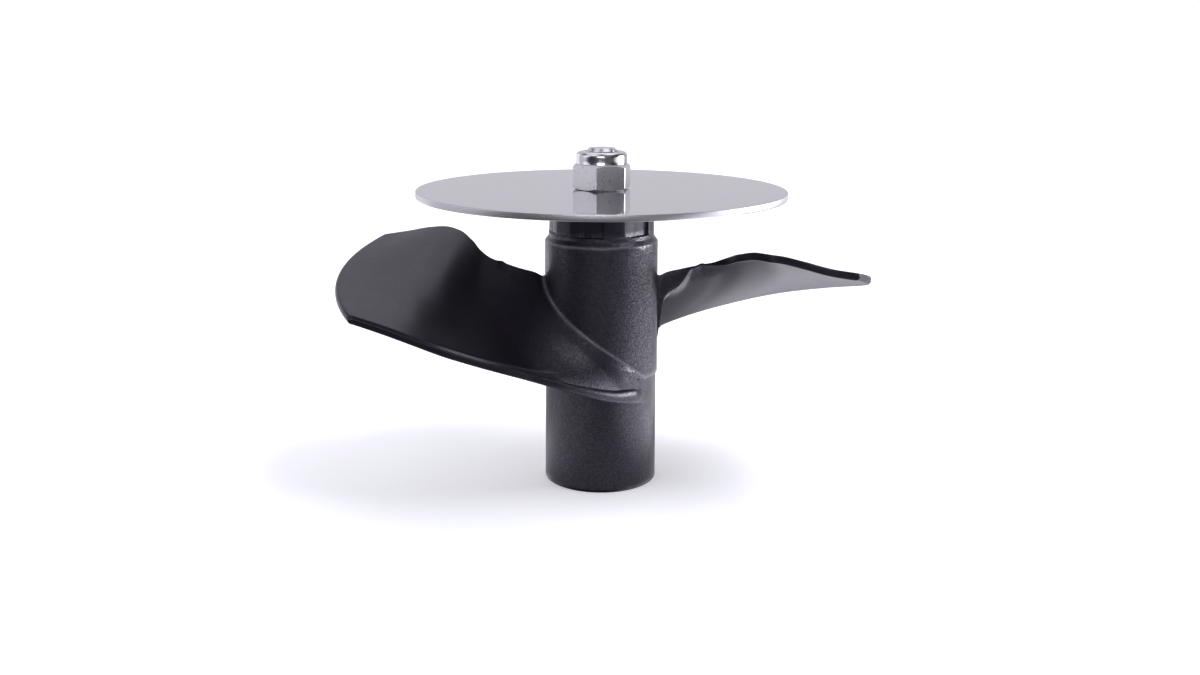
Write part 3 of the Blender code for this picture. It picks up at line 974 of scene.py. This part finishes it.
def moulded_black():
    """Black plastic with a grainy hub and satin blades and sleeve."""
    f = Finish("moulded_black_plastic")
    near_hub = f.radius.ramp(14.3, 15.6, 1.0, 0.5) * f.radius.ramp(18.0, 34.0, 1.0, 0.0)
    above_sleeve = f.z.ramp(24.0, 30.0)
    below_neck = f.z.ramp(PLINTH_TOP, PLINTH_TOP + 1, 1.0, 0.15)
    grainy = near_hub * (above_sleeve * 0.75 + 0.25) * below_neck
    grain = f.noise(0.36, 2.0, roughness=0.6)
    cell = f.cells(0.28)
    streaks = f.noise(0.35, 2.0, (26, 26, 1))
    cloud = f.noise(14.0, 2.0)
    speck = (cell * 0.7 + grain * 0.6).ramp(0.45, 1.0)
    # Painted highlight along the root lines, the ledge and the shoulder's rim, broken up by the grain
    painted_highlight = painted_edge_highlights(f) * (grain.ramp(0.25, 0.6) * 0.6 + 0.4)
    colour = f.mix(cloud.ramp(0.3, 0.7), DARK_PLASTIC, PALE_PLASTIC)
    colour = f.mix(speck * (grainy * 0.5 + 0.08), colour, DUSTY_PLASTIC)
    colour = f.mix(painted_highlight, colour, PAINTED_HIGHLIGHT_PLASTIC)
    rough = 0.32 + streaks * 0.06 - painted_highlight * 0.08
    height = (grain + cell * 0.35) * (grainy * 0.95 + 0.05) + streaks * (1 - grainy) * 0.05
    return f.set(Base_Color=colour, Roughness=rough, Normal=f.bump(height, 0.1), IOR=1.45,
                 Coat_Weight=speck * (grainy * 0.64 + 0.15), Coat_Roughness=0.24, Coat_IOR=1.6,
                 Specular_Tint=(1.0, 0.95, 1.12, 1), Coat_Tint=(1.0, 0.97, 1.0, 1))


# %% [markdown]
# ## Steel and nylon
# The disc is almost a mirror, with a dull torn edge. The nut is plated: its hexagon keeps the grain
# of the blank it was pressed from, and its rolled collar and the bolt's end are polished.

# %% Steel and nylon finishes
SHEET_BRIGHT = (0.6, 0.6, 0.61, 1)
SHEET_TORN = (0.58, 0.57, 0.59, 1)
PLATED = (0.66, 0.65, 0.67, 1)
PITTED = (0.3, 0.29, 0.31, 1)
NYLON_DULL = (0.5, 0.5, 0.5, 1)
NYLON_MILKY = (0.66, 0.66, 0.68, 1)


def disc_steel():
    """Bright sheet, dull and dark on its edge."""
    f = Finish("bright_sheet_steel")
    edge = f.radius.ramp(DISC_RADIUS - 0.12, DISC_RADIUS - 0.04)
    torn = edge * f.z.ramp(DISC_BASE + 0.12, DISC_BASE + 0.3)
    cloud = f.noise(9.0, 3.0)
    mottle = f.noise(0.5, 2.0, (1, 1, 0.6))
    colour = f.mix(torn * (mottle * 0.5 + 0.6), SHEET_BRIGHT, SHEET_TORN)
    rough = 0.07 + cloud * 0.03 + torn * 0.3
    normal = f.bump(mottle * torn + cloud * (1 - torn) * 0.01, 0.05, 0.6)
    return f.set(Base_Color=colour, Roughness=rough, Metallic=1.0, Normal=normal)


def fastener_steel(name, polished_above):
    """Plated steel, grainy up to a height and polished above it."""
    f = Finish(name)
    polished = f.z.ramp(polished_above - 0.1, polished_above + 0.1)
    grain = f.noise(0.3, 3.0)
    pits = f.noise(0.8, 2.0).ramp(0.62, 0.7)
    colour = f.mix(pits * (1 - polished) * 0.6, PLATED, PITTED)
    rough = 0.25 - polished * 0.12 + grain * 0.08
    normal = f.bump(grain * (1 - polished * 0.85), 0.09)
    return f.set(Base_Color=colour, Roughness=rough, Metallic=1.0, Normal=normal)


def nylon():
    """Milky nylon."""
    f = Finish("milky_nylon")
    cloud = f.noise(0.8, 2.0)
    return f.set(Base_Color=f.mix(cloud, NYLON_DULL, NYLON_MILKY), Roughness=0.4 + cloud * 0.1)


# %% Finished pieces
def finished(piece, finish, node):
    """Give a piece its material, and let it stand for its CAD node and ride on the body."""
    piece.data.materials.clear()
    piece.data.materials.append(finish)
    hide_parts(node)
    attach(piece, "root")
    print(piece.name, "stands for", node, "in", finish.name)


finished(propeller, moulded_black(), "propeller")
finished(disc, disc_steel(), "splash_disc")
finished(nut, fastener_steel("plated_nut_steel", NUT_HEX_TOP), "lock_nut")
finished(ring, nylon(), "nylon_ring")
finished(stud, fastener_steel("plated_bolt_steel", THREAD_BASE), "bolt")

# %% [markdown]
# ## Floor
# The studio's table is white paper. A little glow of its own keeps it pale right up to the hub, so
# only a faint shadow is left. Glossy surfaces don't see it: they get a table of their own below.

# %% Floor
FLOOR_GLOW = 0.4
FLOOR_REACH = 4.0
FLOOR_PAPER = (0.86, 0.86, 0.9, 1)


def floor():
    """A wide pale floor at the foot of the hub."""
    corners = ((-1, -1), (1, -1), (1, 1), (-1, 1))
    points = [(x * FLOOR_REACH, y * FLOOR_REACH, 0) for x, y in corners]
    made = new_piece("studio_floor", points, [(0, 1, 2, 3)])
    made.data.materials.append(Finish("floor_paper").set(
        Base_Color=FLOOR_PAPER, Roughness=0.9, Emission_Color=(1, 1, 1, 1), Emission_Strength=FLOOR_GLOW))
    made.visible_glossy = False
    return made


print("floor:", floor().name)

# %% [markdown]
# ## Table glow and reflector cards
# Black plastic and steel show what they mirror more than what lights them. The table's glow and two
# cards, one on the right and one in front, shine for glossy rays only. So they light nothing dull,
# cast no shadow and can't be seen themselves.

# %% Table glow
STUDIO_WHITE = (1.0, 0.99, 1.08, 1)
TABLE_HOLE = 15.0
TABLE_REACH = 115.0
TABLE_LIFT = 0.2


def shining(made, f, level):
    """Give a piece a glow that only glossy surfaces see."""
    glow = f.node("ShaderNodeEmission", None, {"Color": STUDIO_WHITE, "Strength": level})
    f.feed(f.tree.nodes["Material Output"].inputs["Surface"], glow)
    made.data.materials.append(f.material)
    made.visible_camera = False
    made.visible_diffuse = False
    made.visible_shadow = False
    print(made.name, "shines for glossy rays")


def table_glow():
    """What glossy surfaces see of the table: bright on the right, fainter at the back and far out."""
    azimuths = np.arange(0, 360, 7.5)
    rings = [place(radius, azimuths, TABLE_LIFT) for radius in (TABLE_HOLE, TABLE_REACH)]
    f = Finish("table_glow")
    level = 0.6 + f.x.ramp(30.0, 54.0) * 2.8 + (f.x * -1.0).ramp(12.0, 40.0) * 0.6
    level = level * f.radius.ramp(80.0, TABLE_REACH, 1.0, 0.6) * f.y.ramp(12.0, 36.0, 1.0, 0.5)
    shining(skin("table_glow", rings, "open"), f, level)


table_glow()

# %% Reflector cards
CARD_DISTANCE = 350.0
CARD_MIDDLE = 45.0
# Azimuth and height above the horizon, width and depth in degrees, slant and level
CARDS = {
    "right_card": (97.0, 11.0, 28.0, 17.0, 0.1, 17.0),
    "front_card": (-4.0, 20.0, 30.0, 14.0, 0.0, 5.5),
}


def reflector_card(name, azimuth, height, width, depth, slant, level):
    """A bright curved card, which rises to the right by its slant."""
    across = np.linspace(-width / 2, width / 2, 13)
    rings = []
    for along in np.linspace(-depth / 2, depth / 2, 7):
        up = np.radians(height + along + across * slant)
        rings.append(place(CARD_DISTANCE * np.cos(up), azimuth + across,
                           CARD_MIDDLE + CARD_DISTANCE * np.sin(up)))
    shining(skin(name, rings, "open", closed=False), Finish(name), level)


for card, measures in CARDS.items():
    reflector_card(card, *measures)

# %% [markdown]
# ## World and key light
# The studio is white all round, but darker behind the camera, which gives black plastic its depth.
# The world is a function of direction that works as a ring of soft boxes, with no hard edges to
# mirror. A very soft sun from the upper right lays a faint shadow to the left.

# %% World
AMBIENT = 0.04
SKY_FOR_CAMERA = 1.1
EDGE_SOFTNESS = 10.0
# Soft box: azimuth from the front, height above the horizon, width in degrees, and level
SOFT_BOXES = {
    "back wall": (184, 12, 104, 0.62),
    "right wall": (94, -30, 76, 1.5),
    "left wall": (246, -12, 76, 0.65),
    "left, low": (284, 16, 26, 1.1),
    "front right, low": (36, -16, 26, 0.12),
    "front": (0, 40, 84, 0.17),
    "above, behind": (182, 66, 44, 0.8),
    "above, right": (128, 50, 30, 0.28),
    "upper right": (88, 70, 26, 1.2),
    "upper left": (292, 56, 44, 1.0),
}


def world():
    """Soft boxes all round for the light, and plain white where the camera sees the sky."""
    made = bpy.data.worlds.new("studio")
    bpy.context.scene.world = made
    made.use_nodes = True
    f = Nodes(made.node_tree)
    way = f.node("ShaderNodeTexCoord", output="Generated")
    level = AMBIENT
    for azimuth, height, width, strength in SOFT_BOXES.values():
        flat, up = math.cos(math.radians(height)), math.sin(math.radians(height))
        centre = (flat * math.sin(math.radians(azimuth)), -flat * math.cos(math.radians(azimuth)), up)
        near = f.node("ShaderNodeVectorMath", {"operation": "DOT_PRODUCT"}, {0: way, 1: centre}, "Value")
        outer, inner = [math.cos(math.radians(width / 2 + side * EDGE_SOFTNESS)) for side in (1, -1)]
        level = level + near.ramp(outer, inner, 0.0, strength)
    seen = f.node("ShaderNodeLightPath", output="Is Camera Ray")
    shade = f.node("ShaderNodeMix", {"data_type": "FLOAT"}, {0: seen, 2: level, 3: SKY_FOR_CAMERA})
    background = f.tree.nodes["Background"]
    f.feed(background.inputs["Color"], STUDIO_WHITE)
    f.feed(background.inputs["Strength"], shade)


world()
print("world:", len(SOFT_BOXES), "soft boxes")

# %% Key light
KEY_AZIMUTH = 82.0
KEY_HEIGHT = 56.0
KEY_SPREAD = 30.0
KEY_POWER = 1.6

key = added("key_from_the_right", bpy.data.lights.new("key_from_the_right", "SUN"))
key.data.angle = math.radians(KEY_SPREAD)
key.data.energy = KEY_POWER
key.data.color = STUDIO_WHITE[:3]
key.rotation_euler = (math.radians(90 - KEY_HEIGHT), 0, math.radians(KEY_AZIMUTH))
key.visible_glossy = False
print("key light:", KEY_POWER, "from", KEY_HEIGHT, "degrees up")

# %% [markdown]
# ## Camera
# The photograph was taken a little from above, close to the object. Where the disc's ellipse, the
# hub's rim and the axis lie in it gives the camera's place, its pitch and a slight roll. The plain
# Standard view keeps white surroundings white.

# %% Camera
CAMERA_DISTANCE = 0.290
CAMERA_HEIGHT = 0.1079
CAMERA_PITCH = 13.973
CAMERA_ROLL = 0.3116

camera = added("camera", bpy.data.cameras.new("camera"))
camera.data.lens = 36.1067
camera.data.sensor_width = 36.0
camera.data.shift_x = -0.000725
camera.data.clip_start = 0.01
camera.location = (0, -CAMERA_DISTANCE, CAMERA_HEIGHT)
camera.rotation_mode = "QUATERNION"
pitch = Quaternion((1, 0, 0), math.radians(90 - CAMERA_PITCH))
camera.rotation_quaternion = pitch @ Quaternion((0, 0, 1), math.radians(CAMERA_ROLL))
bpy.context.scene.camera = camera
bpy.context.scene.view_settings.view_transform = "Standard"
print("camera at", tuple(camera.location))
